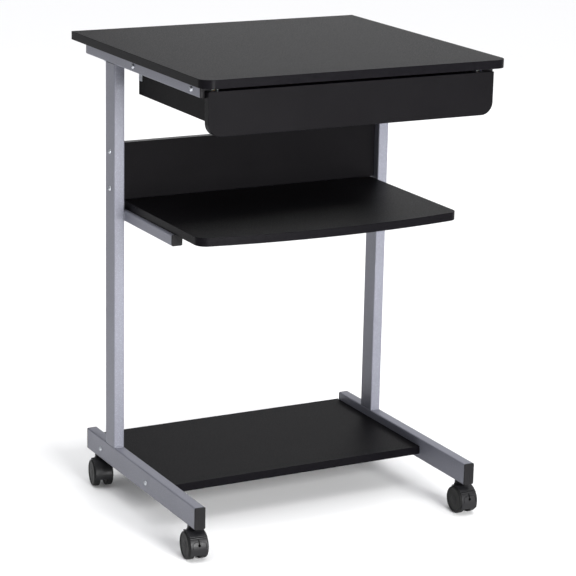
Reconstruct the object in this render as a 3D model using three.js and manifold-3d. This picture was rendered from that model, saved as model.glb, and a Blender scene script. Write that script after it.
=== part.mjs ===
// A rolling computer desk: laminate top over a shallow sliding drawer, a fixed bow-fronted
// shelf on two arms, a modesty panel, a bottom shelf, and two steel side frames on casters.
// Millimetres, +X right, +Y back, +Z up; the origin is on the floor under the desk's centre.
import * as THREE from "three";
import { mergeVertices } from "three/addons/utils/BufferGeometryUtils.js";
import Module from "manifold-3d";

// ---- driving sizes ---------------------------------------------------------
const deskHeight = 840;
const topWidth = 580;
const topDepth = 550;
const boardThickness = 15;
const topCornerRadius = 22;

// steel side frames
const tubeWidth = 20;
const tubeWall = 1.5;
const tubeCornerRadius = 2.5;
const baseRailHeight = 40;
const topRailHeight = 20;
const armHeight = 20;
const uprightDepth = 40;
const frameInset = 10.5;        // from the top's edge in to the frame's outer face
const topRailSetBack = 36;      // from the top's front edge
const baseRailSetBack = 40;
const railBackInset = 46;       // from the top's back edge, on both rails
const uprightBackInset = 130;
const armLength = 228.5;        // forward of the modesty panel's back face

// plastic end caps
const capFlange = 3;
const capPlugDepth = 14;
const capPlugClearance = 0.3;
const capPlugRadius = 1;
const capWall = 1.6;

// fixed shelf and modesty panel
const armTop = 542;
const shelfSideGap = 5.5;       // from the shelf's side to the upright's inner face
const shelfSetBack = 63;        // from the top's front edge to the middle of the bow
const shelfBowRadius = 1420;
const shelfCornerRadius = 20;
const panelSetBack = 16.5;      // from the uprights' front face
const panelHeight = 103.5;
const panelShelfGap = 1;

// bottom shelf
const bottomShelfDepth = 317;
const bottomShelfBackInset = 39; // from the top's back edge
const bottomShelfDrop = 14.7;   // from the base rail's top down to the shelf's top face

// drawer
const drawerFrontSideInset = 18; // from the top's side edge
const drawerFrontHeight = 75;
const drawerFrontSetBack = 17.3;
const drawerFrontGap = 7.5;     // under the top
const drawerFrontCornerRadius = 22;
const drawerDepth = 315;        // behind the front board
const drawerBoxHeight = 58;
const drawerBoxRaise = 14;      // from the front board's lower edge up to the box's
const drawerBoardThickness = 12;
const drawerBottomThickness = 4;
const grooveDepth = 5;
const grooveClearance = 0.3;
const grooveRaise = 8;

// roller slides
const slideGap = 12.5;          // between a rail's inner face and the drawer's side
const slideSheet = 1.2;
const channelHeight = 18;
const channelFlange = 8.5;
const channelSetBack = 37;      // from the top's front edge
const channelOverrun = 11.7;    // behind the back roller
const runnerFlangeWidth = 8;
const runnerRaise = 1.5;        // above the top rail's underside
const runnerTabLength = 12.5;   // the tab that turns down at the runner's back end
const runnerTabDrop = 24;       // below the top rail's underside
const runnerClearance = 0.4;
const runnerEndGap = 2;         // to the front board, and to the drawer's back
const runnerReliefGap = 2;      // before the back roller
const rollerSideGap = 3;        // from the drawer's side
const rollerRunningGap = 0.1;
const rollerWidth = 6;
const rollerFacets = 16;
const rollerPinRadius = 2;
const rollerBoreClearance = 0.2;
const frontRollerInset = 10;    // from the channel's front end
const backRollerInset = 20;     // from the runner's back end

// casters
const wheelRadius = 25;
const wheelWidth = 12.5;
const wheelFacets = 30;
const wheelGap = 0.5;
const wheelShoulder = 2.5;
const wheelInnerShoulder = 1;
const wheelRimWidth = 6;
const wheelDish = 1.5;
const casterHeadroom = 8;       // from the wheels' top up to the base rail
const casterTrail = 12;
const casterCoreWidth = 11;
const hoodWidth = 32;
const hoodClearance = 1;        // over the wheels
const hoodThickness = 2;
const hoodBackAngle = 118;      // hood angles run up from the trailing side, about the axle
const webBackAngle = 130;
const brakedHoodEdgeAngle = 46;
const plainHoodEdgeAngle = -15;
const leverTopAngle = 41;
const leverLowAngle = -25;
const leverPivotRadius = 1.6;
const leverRibWidth = 8;
const leverRibHubGap = 6;
const leverRibLowAngle = 2;
const leverRibTopAngle = 33;
const collarRadius = 8;
const collarHeight = 9;
const collarGap = 0.5;          // under the base rail
const stemRadius = 5;
const stemLength = 40;
const stemRise = 30;            // above the base rail's underside
const stemClearance = 0.15;
const axleRadius = 3;
const axleClearance = 0.1;
const axleHubRadius = 8;
const axleEndInset = 2.5;       // from the wheels' outer faces
const frontCasterInset = 30;    // from the base rail's front end
const backCasterInset = 31;

// ---- derived places ---------------------------------------------------------
const topFront = -topDepth / 2;
const topBack = topDepth / 2;
const topUnderside = deskHeight - boardThickness;
const frameOuter = topWidth / 2 - frameInset;
const frameInner = frameOuter - tubeWidth;
const railCentre = frameOuter - tubeWidth / 2;
const topRailFront = topFront + topRailSetBack;
const baseRailFront = topFront + baseRailSetBack;
const railBack = topBack - railBackInset;
const topRailBottom = topUnderside - topRailHeight;
const casterHeight = 2 * wheelRadius + casterHeadroom;
const baseRailTop = casterHeight + baseRailHeight;
const uprightFront = topBack - uprightBackInset - uprightDepth;
const shelfBottom = armTop;
const shelfTop = shelfBottom + boardThickness;
const shelfHalfWidth = frameInner - shelfSideGap;
const shelfFront = topFront + shelfSetBack;
const panelFront = uprightFront + panelSetBack;
const panelBack = panelFront + boardThickness;
const armFront = panelBack - armLength;
const armCentre = frameInner - tubeWidth / 2;
const drawerFrontFace = topFront + drawerFrontSetBack;
const drawerFrontBack = drawerFrontFace + boardThickness;
const drawerBack = drawerFrontBack + drawerDepth;
const drawerFrontTop = topUnderside - drawerFrontGap;
const drawerFrontBottom = drawerFrontTop - drawerFrontHeight;
const drawerBoxBottom = drawerFrontBottom + drawerBoxRaise;
const drawerHalf = frameInner - slideGap;
const hoodInnerRadius = wheelRadius + hoodClearance;
const hoodOuterRadius = hoodInnerRadius + hoodThickness;
const leverPivotReach = hoodInnerRadius + hoodThickness / 2;
const stemFoot = casterHeight + stemRise - stemLength;
const frontCasterY = baseRailFront + frontCasterInset;
const backCasterY = railBack - backCasterInset;

// each caster's heading at rest, in degrees anticlockwise seen from above, and its brake
const casters = [
  { place: "front_left", side: -1, y: frontCasterY, heading: -5, braked: true },
  { place: "front_right", side: 1, y: frontCasterY, heading: 0, braked: true },
  { place: "back_left", side: -1, y: backCasterY, heading: -9, braked: false },
  { place: "back_right", side: 1, y: backCasterY, heading: 9, braked: false },
];

// ---- geometry helpers -------------------------------------------------------
const wasm = await Module();
wasm.setup();

function toSolid(geometry) {
  const bare = geometry.clone();
  bare.deleteAttribute("normal");
  bare.deleteAttribute("uv");
  const merged = mergeVertices(bare, 1e-4);
  const mesh = new wasm.Mesh({
    numProp: 3,
    vertProperties: Float32Array.from(merged.attributes.position.array),
    triVerts: Uint32Array.from(merged.index.array),
  });
  return new wasm.Manifold(mesh);
}

function toGeometry(solid) {
  const mesh = solid.getMesh();
  const geometry = new THREE.BufferGeometry();
  geometry.setAttribute("position", new THREE.Float32BufferAttribute(mesh.vertProperties, 3));
  geometry.setIndex(new THREE.BufferAttribute(Uint32Array.from(mesh.triVerts), 1));
  geometry.computeVertexNormals();
  return geometry;
}

function cut(geometry, ...tools) {
  const rest = tools.reduce((solid, tool) => solid.subtract(toSolid(tool)), toSolid(geometry));
  return toGeometry(rest);
}

function join(geometry, ...others) {
  const whole = others.reduce((solid, other) => solid.add(toSolid(other)), toSolid(geometry));
  return toGeometry(whole);
}

// a box from its lowest corner to its highest
function block(x0, x1, y0, y1, z0, z1) {
  const box = new THREE.BoxGeometry(x1 - x0, y1 - y0, z1 - z0);
  return box.translate((x0 + x1) / 2, (y0 + y1) / 2, (z0 + z1) / 2);
}

function roundedRectangle(width, height, radius) {
  const x = width / 2;
  const y = height / 2;
  const shape = new THREE.Shape();
  shape.absarc(x - radius, y - radius, radius, 0, Math.PI / 2);
  shape.absarc(-x + radius, y - radius, radius, Math.PI / 2, Math.PI);
  shape.absarc(-x + radius, -y + radius, radius, Math.PI, Math.PI * 1.5);
  shape.absarc(x - radius, -y + radius, radius, Math.PI * 1.5, Math.PI * 2);
  return shape;
}

function extrudeUp(shape, low, high, curveSegments = 3) {
  const settings = { depth: high - low, bevelEnabled: false, curveSegments };
  return new THREE.ExtrudeGeometry(shape, settings).translate(0, 0, low);
}

// a section drawn in X and Z, drawn out along Y
function extrudeAlongY(shape, front, back, curveSegments = 3) {
  return extrudeUp(shape, 0, back - front, curveSegments).rotateX(Math.PI / 2).translate(0, back, 0);
}

// a section drawn in Y and Z, drawn out along X
function extrudeAlongX(shape, low, high, curveSegments = 3) {
  const turn = new THREE.Matrix4().makeBasis(
    new THREE.Vector3(0, 1, 0),
    new THREE.Vector3(0, 0, 1),
    new THREE.Vector3(1, 0, 0),
  );
  return extrudeUp(shape, low, high, curveSegments).applyMatrix4(turn);
}

function cylinderX(radius, low, high, segments = 20) {
  const pin = new THREE.CylinderGeometry(radius, radius, high - low, segments);
  return pin.rotateZ(Math.PI / 2).translate((low + high) / 2, 0, 0);
}

function cylinderZ(radius, low, high, segments = 20) {
  const pin = new THREE.CylinderGeometry(radius, radius, high - low, segments);
  return pin.rotateX(Math.PI / 2).translate(0, 0, (low + high) / 2);
}

// a ring turned about X, with its section in (distance along X, radius) pairs
function turnedX(section, segments) {
  const profile = section.map(([along, radius]) => new THREE.Vector2(radius, along));
  return new THREE.LatheGeometry(profile, segments).rotateZ(-Math.PI / 2);
}

function tubeSection(width, height) {
  const section = roundedRectangle(width, height, tubeCornerRadius);
  const boreRadius = Math.max(tubeCornerRadius - tubeWall, 0.5);
  const boreWidth = width - 2 * tubeWall;
  const boreHeight = height - 2 * tubeWall;
  section.holes.push(roundedRectangle(boreWidth, boreHeight, boreRadius));
  return section;
}

// ---- finishes ---------------------------------------------------------------
const finishes = {
  laminateTop: { color: 0x4a4a4a, roughness: 0.55, metalness: 0 },
  laminate: { color: 0x28282c, roughness: 0.55, metalness: 0 },
  silverSteel: { color: 0x9c9da6, roughness: 0.42, metalness: 0.35 },
  zinc: { color: 0xb9bcc0, roughness: 0.35, metalness: 0.9 },
  plainSteel: { color: 0x8d9094, roughness: 0.3, metalness: 1 },
  blackPlastic: { color: 0x1d1d1f, roughness: 0.5, metalness: 0 },
  greyNylon: { color: 0xd8d6cf, roughness: 0.5, metalness: 0 },
};

const desk = new THREE.Group();

function add(name, geometry, finish, group = desk) {
  const mesh = new THREE.Mesh(geometry, new THREE.MeshStandardMaterial(finishes[finish]));
  mesh.name = name;
  group.add(mesh);
  return mesh;
}

// ---- boards -----------------------------------------------------------------
function topOutline() {
  const x = topWidth / 2;
  const y = topDepth / 2;
  const r = topCornerRadius;
  const shape = new THREE.Shape();
  shape.moveTo(x, y);
  shape.lineTo(-x, y);
  shape.absarc(-x + r, -y + r, r, Math.PI, Math.PI * 1.5);
  shape.absarc(x - r, -y + r, r, Math.PI * 1.5, Math.PI * 2);
  return shape;
}

// straight sides and back, a bowed front, and a round corner where front and side meet
function bowedOutline() {
  const r = shelfCornerRadius;
  const bowCentre = shelfFront + shelfBowRadius;
  const cornerX = shelfHalfWidth - r;
  const reach = shelfBowRadius - r;
  const cornerY = bowCentre - Math.sqrt(reach * reach - cornerX * cornerX);
  const lean = Math.asin(cornerX / reach);
  const down = Math.PI * 1.5;
  const shape = new THREE.Shape();
  shape.moveTo(shelfHalfWidth, panelBack);
  shape.lineTo(-shelfHalfWidth, panelBack);
  shape.absarc(-cornerX, cornerY, r, Math.PI, down - lean);
  shape.absarc(0, bowCentre, shelfBowRadius, down - lean, down + lean);
  shape.absarc(cornerX, cornerY, r, down + lean, Math.PI * 2);
  return shape;
}

function addBoards() {
  add("top_panel", extrudeUp(topOutline(), topUnderside, deskHeight, 12), "laminateTop");
  add("fixed_shelf", extrudeUp(bowedOutline(), shelfBottom, shelfTop, 16), "laminate");
  const panelLow = shelfTop + panelShelfGap;
  const panelHigh = panelLow + panelHeight;
  const panel = block(-frameInner, frameInner, panelFront, panelBack, panelLow, panelHigh);
  add("modesty_panel", panel, "laminate");
  const lowShelfTop = baseRailTop - bottomShelfDrop;
  const lowShelfBottom = lowShelfTop - boardThickness;
  const lowShelfBack = topBack - bottomShelfBackInset;
  const lowShelfFront = lowShelfBack - bottomShelfDepth;
  const lowShelf = block(
    -frameInner, frameInner, lowShelfFront, lowShelfBack, lowShelfBottom, lowShelfTop,
  );
  add("bottom_shelf", lowShelf, "laminate");
}

// ---- side frames ------------------------------------------------------------
// a hollow plug with a flange that covers the tube's end; outward is -1 at the front, 1 at the back
function endCap(width, height, x, z, end, outward) {
  const plugWidth = width - 2 * (tubeWall + capPlugClearance);
  const plugHeight = height - 2 * (tubeWall + capPlugClearance);
  const plug = roundedRectangle(plugWidth, plugHeight, capPlugRadius);
  const bore = roundedRectangle(plugWidth - 2 * capWall, plugHeight - 2 * capWall, capPlugRadius / 2);
  plug.holes.push(bore);
  const flange = roundedRectangle(width, height, tubeCornerRadius);
  const span = (from, to) => [Math.min(from, to), Math.max(from, to)];
  const flangeSpan = span(end, end + outward * capFlange);
  const plugSpan = span(end + outward * capFlange / 2, end - outward * capPlugDepth);
  const cap = join(extrudeAlongY(flange, ...flangeSpan), extrudeAlongY(plug, ...plugSpan, 2));
  return cap.translate(x, 0, z);
}

function addSideFrame(label, side) {
  const x = side * railCentre;
  const topZ = topUnderside - topRailHeight / 2;
  const topRail = extrudeAlongY(tubeSection(tubeWidth, topRailHeight), topRailFront, railBack);
  add(`${label}_top_rail`, topRail.translate(x, 0, topZ), "silverSteel");

  const uprightSection = tubeSection(tubeWidth, uprightDepth);
  const upright = extrudeUp(uprightSection, baseRailTop, topRailBottom);
  add(`${label}_upright`, upright.translate(x, uprightFront + uprightDepth / 2, 0), "silverSteel");

  const baseZ = casterHeight + baseRailHeight / 2;
  const baseSection = tubeSection(tubeWidth, baseRailHeight);
  const baseRail = extrudeAlongY(baseSection, baseRailFront, railBack).translate(x, 0, baseZ);
  const stemHole = (y) => {
    const radius = stemRadius + stemClearance;
    return cylinderZ(radius, casterHeight - 1, casterHeight + tubeWall + 1).translate(x, y, 0);
  };
  const drilled = cut(baseRail, stemHole(frontCasterY), stemHole(backCasterY));
  add(`${label}_base_rail`, drilled, "silverSteel");

  const armX = side * armCentre;
  const armZ = armTop - armHeight / 2;
  const arm = extrudeAlongY(tubeSection(tubeWidth, armHeight), armFront, panelBack);
  add(`${label}_shelf_arm`, arm.translate(armX, 0, armZ), "silverSteel");

  const caps = [
    ["top_rail_front_cap", topRailHeight, x, topZ, topRailFront, -1],
    ["top_rail_back_cap", topRailHeight, x, topZ, railBack, 1],
    ["base_rail_front_cap", baseRailHeight, x, baseZ, baseRailFront, -1],
    ["base_rail_back_cap", baseRailHeight, x, baseZ, railBack, 1],
    ["shelf_arm_cap", armHeight, armX, armZ, armFront, -1],
  ];
  for (const [name, height, capX, z, end, outward] of caps) {
    add(`${label}_${name}`, endCap(tubeWidth, height, capX, z, end, outward), "blackPlastic");
  }
}

// ---- drawer -----------------------------------------------------------------
const grooveBottom = drawerBoxBottom + grooveRaise;
const grooveTop = grooveBottom + drawerBottomThickness + grooveClearance;
const drawerInner = drawerHalf - drawerBoardThickness;
const grooveReach = drawerInner + grooveDepth;

function drawerFrontOutline() {
  const x = topWidth / 2 - drawerFrontSideInset;
  const r = drawerFrontCornerRadius;
  const shape = new THREE.Shape();
  shape.moveTo(x, drawerFrontTop);
  shape.lineTo(-x, drawerFrontTop);
  shape.absarc(-x + r, drawerFrontBottom + r, r, Math.PI, Math.PI * 1.5);
  shape.absarc(x - r, drawerFrontBottom + r, r, Math.PI * 1.5, Math.PI * 2);
  return shape;
}

function addDrawer() {
  const boxTop = drawerBoxBottom + drawerBoxHeight;
  const backFront = drawerBack - drawerBoardThickness;
  const grooveFront = drawerFrontBack - grooveDepth;
  const groove = block(-grooveReach, grooveReach, grooveFront, drawerBack + 1, grooveBottom, grooveTop);
  const board = extrudeAlongY(drawerFrontOutline(), drawerFrontFace, drawerFrontBack, 8);
  add("drawer_front", cut(board, groove), "laminate");
  const sides = [["left", -1], ["right", 1]];
  for (const [label, side] of sides) {
    const faces = [side * drawerHalf, side * drawerInner];
    const low = Math.min(...faces);
    const high = Math.max(...faces);
    const panel = block(low, high, drawerFrontBack, drawerBack, drawerBoxBottom, boxTop);
    add(`drawer_${label}_side`, cut(panel, groove), "laminate");
  }
  const back = block(-drawerInner, drawerInner, backFront, drawerBack, grooveTop, boxTop);
  add("drawer_back", back, "laminate");
  const reach = grooveReach - grooveClearance;
  const bottomFront = grooveFront + grooveClearance;
  const bottomTop = grooveBottom + drawerBottomThickness;
  const bottom = block(-reach, reach, bottomFront, drawerBack, grooveBottom, bottomTop);
  add("drawer_bottom", bottom, "laminate");
}

// ---- roller slides ----------------------------------------------------------
const channelFront = topFront + channelSetBack;
const channelBottom = topRailBottom + (topRailHeight - channelHeight) / 2;
const channelTop = channelBottom + channelHeight;
const channelFloor = channelBottom + slideSheet;
const channelCeiling = channelTop - slideSheet;
const backRollerRadius = (channelCeiling - channelFloor) / 2 - runnerClearance / 2;
const runnerFlangeTop = channelCeiling - runnerClearance;
const frontRollerRadius = backRollerRadius - slideSheet - runnerClearance;
const rollerZ = (channelFloor + channelCeiling) / 2;
const frontRollerZ = runnerFlangeTop - slideSheet - frontRollerRadius - rollerRunningGap;
const runnerBottom = topRailBottom + runnerRaise;
const runnerTabBottom = topRailBottom - runnerTabDrop;
const runnerBack = drawerBack - runnerEndGap;
const runnerFront = drawerFrontBack + runnerEndGap;
const frontRollerY = channelFront + frontRollerInset;
const backRollerY = runnerBack - backRollerInset;
const rollerInner = drawerHalf + rollerSideGap;
const rollerOuter = rollerInner + rollerWidth;

// an outline of straight runs in X and Z, mirrored to the side it serves
function sheetSection(points, side) {
  const corners = points.map(([x, z]) => new THREE.Vector2(side * x, z));
  return new THREE.Shape(side > 0 ? corners : corners.reverse());
}

function channelSection(side) {
  const lip = frameInner - channelFlange;
  const web = frameInner - slideSheet;
  return sheetSection([
    [frameInner, channelBottom],
    [frameInner, channelTop],
    [lip, channelTop],
    [lip, channelCeiling],
    [web, channelCeiling],
    [web, channelFloor],
    [lip, channelFloor],
    [lip, channelBottom],
  ], side);
}

function runnerSection(side) {
  const web = drawerHalf + slideSheet;
  const flange = drawerHalf + runnerFlangeWidth;
  return sheetSection([
    [drawerHalf, runnerBottom],
    [web, runnerBottom],
    [web, runnerFlangeTop - slideSheet],
    [flange, runnerFlangeTop - slideSheet],
    [flange, runnerFlangeTop],
    [drawerHalf, runnerFlangeTop],
  ], side);
}

function rollerAt(radius, side, y, z) {
  const bore = rollerPinRadius + rollerBoreClearance;
  const ends = [side * rollerInner, side * rollerOuter];
  const low = Math.min(...ends);
  const high = Math.max(...ends);
  return turnedX([
    [low, bore],
    [low, radius],
    [high, radius],
    [high, bore],
    [low, bore],
  ], rollerFacets).translate(0, y, z);
}

function pinAt(side, from, to, y, z) {
  const ends = [side * from, side * to];
  return cylinderX(rollerPinRadius, Math.min(...ends), Math.max(...ends), 10).translate(0, y, z);
}

function addSlide(label, side) {
  const channelBack = backRollerY + channelOverrun;
  const channel = extrudeAlongY(channelSection(side), channelFront, channelBack);
  const frontPin = pinAt(side, rollerInner, frameInner - slideSheet / 2, frontRollerY, frontRollerZ);
  add(`${label}_slide_channel`, join(channel, frontPin), "zinc");

  const runner = extrudeAlongY(runnerSection(side), runnerFront, runnerBack);
  const webFace = drawerHalf + slideSheet;
  const tabEnds = [side * drawerHalf, side * webFace];
  const tab = block(
    Math.min(...tabEnds), Math.max(...tabEnds),
    runnerBack - runnerTabLength, runnerBack, runnerTabBottom, rollerZ,
  );
  const reliefEnds = [side * webFace, side * (frameInner - slideSheet)];
  const relief = block(
    Math.min(...reliefEnds), Math.max(...reliefEnds),
    backRollerY - backRollerRadius - runnerReliefGap, runnerBack + 1, rollerZ, runnerFlangeTop + 1,
  );
  const backPin = pinAt(side, drawerHalf + slideSheet / 2, rollerOuter, backRollerY, rollerZ);
  add(`${label}_slide_runner`, join(cut(runner, relief), tab, backPin), "zinc");

  const fixedRoller = rollerAt(frontRollerRadius, side, frontRollerY, frontRollerZ);
  add(`${label}_slide_front_roller`, fixedRoller, "greyNylon");
  const movingRoller = rollerAt(backRollerRadius, side, backRollerY, rollerZ);
  add(`${label}_slide_back_roller`, movingRoller, "greyNylon");
}

// ---- casters ----------------------------------------------------------------
// A caster stands at the origin with its stem upright and trails towards -Y; the wheels'
// axle is along X, casterTrail in front of the stem.
const radians = (degrees) => degrees * Math.PI / 180;

// a band about the axle, between two radii and two hood angles
function axleBand(innerRadius, outerRadius, lowAngle, highAngle, halfWidth, segments = 11) {
  const from = Math.PI - radians(highAngle);
  const to = Math.PI - radians(lowAngle);
  const shape = new THREE.Shape();
  shape.absarc(0, 0, outerRadius, from, to);
  if (innerRadius > 0) {
    shape.absarc(0, 0, innerRadius, to, from, true);
  } else {
    shape.lineTo(0, 0);
  }
  return extrudeAlongX(shape, -halfWidth, halfWidth, segments);
}

function casterHood(edgeAngle) {
  const core = casterCoreWidth / 2;
  const shell = axleBand(hoodInnerRadius, hoodOuterRadius, edgeAngle, hoodBackAngle, hoodWidth / 2);
  const webEdge = Math.max(edgeAngle, 0);
  const web = axleBand(0, hoodInnerRadius + hoodThickness / 2, webEdge, webBackAngle, core);
  const hub = cylinderX(axleHubRadius, -core, core);
  const collarTop = casterHeight - collarGap - wheelRadius;
  const collar = cylinderZ(collarRadius, collarTop - collarHeight, collarTop).translate(0, casterTrail, 0);
  const bore = cylinderX(axleRadius + axleClearance, -core - 1, core + 1);
  const stemSeat = cylinderZ(
    stemRadius + stemClearance, stemFoot - stemClearance - wheelRadius, casterHeight,
  ).translate(0, casterTrail, 0);
  return cut(join(web, shell, hub, collar), bore, stemSeat);
}

// a moulded wheel: a flat tread with rounded shoulders, a dished outer face and a hub bore
function wheel(side) {
  const inner = casterCoreWidth / 2 + wheelGap;
  const outer = inner + wheelWidth;
  const bore = axleRadius + axleClearance;
  const section = [
    [inner, bore],
    [inner, wheelRadius - wheelInnerShoulder],
    [inner + wheelInnerShoulder, wheelRadius],
    [outer - wheelShoulder, wheelRadius],
    [outer, wheelRadius - wheelShoulder],
    [outer - wheelDish, wheelRadius - wheelRimWidth],
    [outer - wheelDish, bore],
    [inner, bore],
  ];
  const placed = section.map(([along, radius]) => [side * along, radius]);
  return turnedX(side > 0 ? placed : placed.reverse(), wheelFacets);
}

function brakeLever() {
  const plate = axleBand(hoodInnerRadius, hoodOuterRadius, leverLowAngle, leverTopAngle, hoodWidth / 2);
  const ribInner = axleHubRadius + leverRibHubGap;
  const ribOuter = hoodInnerRadius + hoodThickness / 2;
  const rib = axleBand(ribInner, ribOuter, leverRibLowAngle, leverRibTopAngle, leverRibWidth / 2, 5);
  const pivotAngle = radians(leverTopAngle);
  const pivotY = -leverPivotReach * Math.cos(pivotAngle);
  const pivotZ = leverPivotReach * Math.sin(pivotAngle);
  const pivot = cylinderX(leverPivotRadius, -hoodWidth / 2, hoodWidth / 2, 12);
  return join(plate, rib, pivot.translate(0, pivotY, pivotZ));
}

function addCaster({ place, side, y, heading, braked }) {
  const caster = new THREE.Group();
  caster.position.set(side * railCentre, y, 0);
  caster.rotation.z = radians(heading);
  const wheelset = new THREE.Group();
  wheelset.position.set(0, -casterTrail, wheelRadius);
  caster.add(wheelset);
  desk.add(caster);

  const name = (piece) => `${place}_caster_${piece}`;
  add(name("stem"), cylinderZ(stemRadius, stemFoot, stemFoot + stemLength), "plainSteel", caster);
  const edgeAngle = braked ? brakedHoodEdgeAngle : plainHoodEdgeAngle;
  add(name("hood"), casterHood(edgeAngle), "blackPlastic", wheelset);
  const axleHalf = casterCoreWidth / 2 + wheelGap + wheelWidth - axleEndInset;
  add(name("axle"), cylinderX(axleRadius, -axleHalf, axleHalf), "plainSteel", wheelset);
  add(name("left_wheel"), wheel(-1), "blackPlastic", wheelset);
  add(name("right_wheel"), wheel(1), "blackPlastic", wheelset);
  if (braked) {
    add(name("brake_lever"), brakeLever(), "blackPlastic", wheelset);
  }
}

// ---- the desk ---------------------------------------------------------------
addBoards();
addSideFrame("left", -1);
addSideFrame("right", 1);
addDrawer();
addSlide("left", -1);
addSlide("right", 1);
casters.forEach(addCaster);

export default desk;
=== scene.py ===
# Rolling computer desk: black melamine boards on two silver side frames with twin-wheel casters.
import math
import bmesh
import bpy
from mathutils import Matrix, Vector


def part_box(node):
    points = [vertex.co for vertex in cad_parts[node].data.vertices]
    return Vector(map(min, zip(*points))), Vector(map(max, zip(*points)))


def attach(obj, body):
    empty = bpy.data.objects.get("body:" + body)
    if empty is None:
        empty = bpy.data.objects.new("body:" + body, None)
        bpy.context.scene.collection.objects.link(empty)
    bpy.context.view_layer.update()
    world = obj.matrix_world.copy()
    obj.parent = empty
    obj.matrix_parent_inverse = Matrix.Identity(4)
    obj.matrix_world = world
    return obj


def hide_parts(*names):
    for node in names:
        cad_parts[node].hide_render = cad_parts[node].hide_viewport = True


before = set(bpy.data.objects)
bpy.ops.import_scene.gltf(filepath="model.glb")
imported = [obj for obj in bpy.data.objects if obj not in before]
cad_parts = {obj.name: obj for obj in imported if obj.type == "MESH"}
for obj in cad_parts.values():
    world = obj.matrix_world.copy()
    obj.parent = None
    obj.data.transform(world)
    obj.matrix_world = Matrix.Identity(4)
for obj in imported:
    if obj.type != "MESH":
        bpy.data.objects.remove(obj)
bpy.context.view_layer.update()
mm = 0.001


# the camera stands to the left of the desk and a little above it, with a long lens
view = {
    "place": (-1.8633, -3.5310, 1.4809),
    "turnDegrees": 27.93,      # to the right of straight ahead
    "tiltDegrees": 15.18,      # down
    "rollDegrees": 1.17,
    "lensMm": 143.0,
    "shift": (0.0071, -0.0004),
}


def addCamera():
    turn, tilt, roll = (math.radians(view[k]) for k in ("turnDegrees", "tiltDegrees", "rollDegrees"))
    back = Vector((-math.sin(turn) * math.cos(tilt), -math.cos(turn) * math.cos(tilt), math.sin(tilt)))
    level = Vector((math.cos(turn), -math.sin(turn), 0))
    upright = level.cross(-back)
    right = level * math.cos(roll) + upright * math.sin(roll)
    up = upright * math.cos(roll) - level * math.sin(roll)
    data = bpy.data.cameras.new("camera")
    data.lens = view["lensMm"]
    data.sensor_width = 36
    data.shift_x, data.shift_y = view["shift"]
    data.clip_end = 50
    camera = bpy.data.objects.new("camera", data)
    facingWay = Matrix((right, up, back)).transposed().to_4x4()
    camera.matrix_world = Matrix.Translation(view["place"]) @ facingWay
    bpy.context.scene.collection.objects.link(camera)
    bpy.context.scene.camera = camera


addCamera()
print("camera set")


def linearColour(hexText):
    channels = (int(hexText[i:i + 2], 16) / 255 for i in (1, 3, 5))
    return (*(c / 12.92 if c <= 0.04045 else ((c + 0.055) / 1.055) ** 2.4 for c in channels), 1)


# adds one node: settings go to its sockets or its own fields, links come from other nodes' outputs
def addNode(tree, kind, settings=None, links=None):
    node = tree.nodes.new("ShaderNode" + kind)
    for key, value in (settings or {}).items():
        if isinstance(key, int) or key in node.inputs:
            node.inputs[key].default_value = value
        else:
            setattr(node, key, value)
    for key, source in (links or {}).items():
        tree.links.new(source, node.inputs[key])
    return node


def makeMaterial(name, recipe):
    material = bpy.data.materials.new(name)
    material.use_nodes = True
    tree = material.node_tree
    tree.nodes.clear()
    where = addNode(tree, "TexCoord").outputs["Object"]      # metres, moving with the body
    shader = recipe(tree, where)
    addNode(tree, "OutputMaterial", links={"Surface": shader.outputs["BSDF"]})
    return material


# The parts that the finishes share: a noise by the size of its grain, a colour between two, a
# colour laid over another, a value spread over a range, a bump, and the shader they end in.
def noise(tree, where, sizeMm, detail=2.0, roughness=0.5, distortion=0.0):
    return addNode(tree, "TexNoise", {"Scale": 1 / (sizeMm * mm), "Detail": detail, "Roughness": roughness,
                                      "Distortion": distortion}, {"Vector": where}).outputs["Fac"]


def between(tree, amount, first, second):
    return addNode(tree, "Mix", {"data_type": "RGBA", 6: linearColour(first), 7: linearColour(second)},
                   {0: amount}).outputs[2]


def over(tree, amount, under, colour):
    return addNode(tree, "Mix", {"data_type": "RGBA", 7: linearColour(colour)},
                   {0: amount, 6: under}).outputs[2]


def spread(tree, value, low, high, valueLow=0.3, valueHigh=0.7):
    return addNode(tree, "MapRange", {"From Min": valueLow, "From Max": valueHigh, "To Min": low,
                                      "To Max": high}, {"Value": value}).outputs["Result"]


def bump(tree, height, strength, depthMm):
    return addNode(tree, "Bump", {"Strength": strength, "Distance": depthMm * mm},
                   {"Height": height}).outputs["Normal"]


def principled(tree, settings, colour, rough, normal):
    return addNode(tree, "BsdfPrincipled", settings,
                   {"Base Color": colour, "Roughness": rough, "Normal": normal})


# Melamine: printed paper pressed under a textured steel plate. The eye gets a soft sheen broken by
# a fine pearl grain, and a faint cloudiness in the black.
foil = {
    "ground": "#09080a", "cloud": "#0f0e10", "fleck": "#1e1d1f",
    "cloudMm": 70, "pearlMm": 2.2,      # the real pearl is under 1 mm, too fine to show
    "fleckMost": 0.32, "fleckBand": (0.56, 0.78), "rough": (0.42, 0.54), "roughBand": (0.35, 0.65),
    "pearlStrength": 0.35, "pearlDepthMm": 0.05,
    "shine": 0.04,      # the plate's texture scatters most of the face-on gloss
}


def melamineFoil(tree, where):
    cloud = noise(tree, where, foil["cloudMm"], 3.0)
    pearl = noise(tree, where, foil["pearlMm"], roughness=0.6)
    ground = between(tree, cloud, foil["ground"], foil["cloud"])
    fleck = spread(tree, pearl, 0.0, foil["fleckMost"], *foil["fleckBand"])
    return principled(tree, {"IOR": 1.5, "Specular IOR Level": foil["shine"]},
                      over(tree, fleck, ground, foil["fleck"]),
                      spread(tree, pearl, *foil["rough"], *foil["roughBand"]),
                      bump(tree, pearl, foil["pearlStrength"], foil["pearlDepthMm"]))


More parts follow.
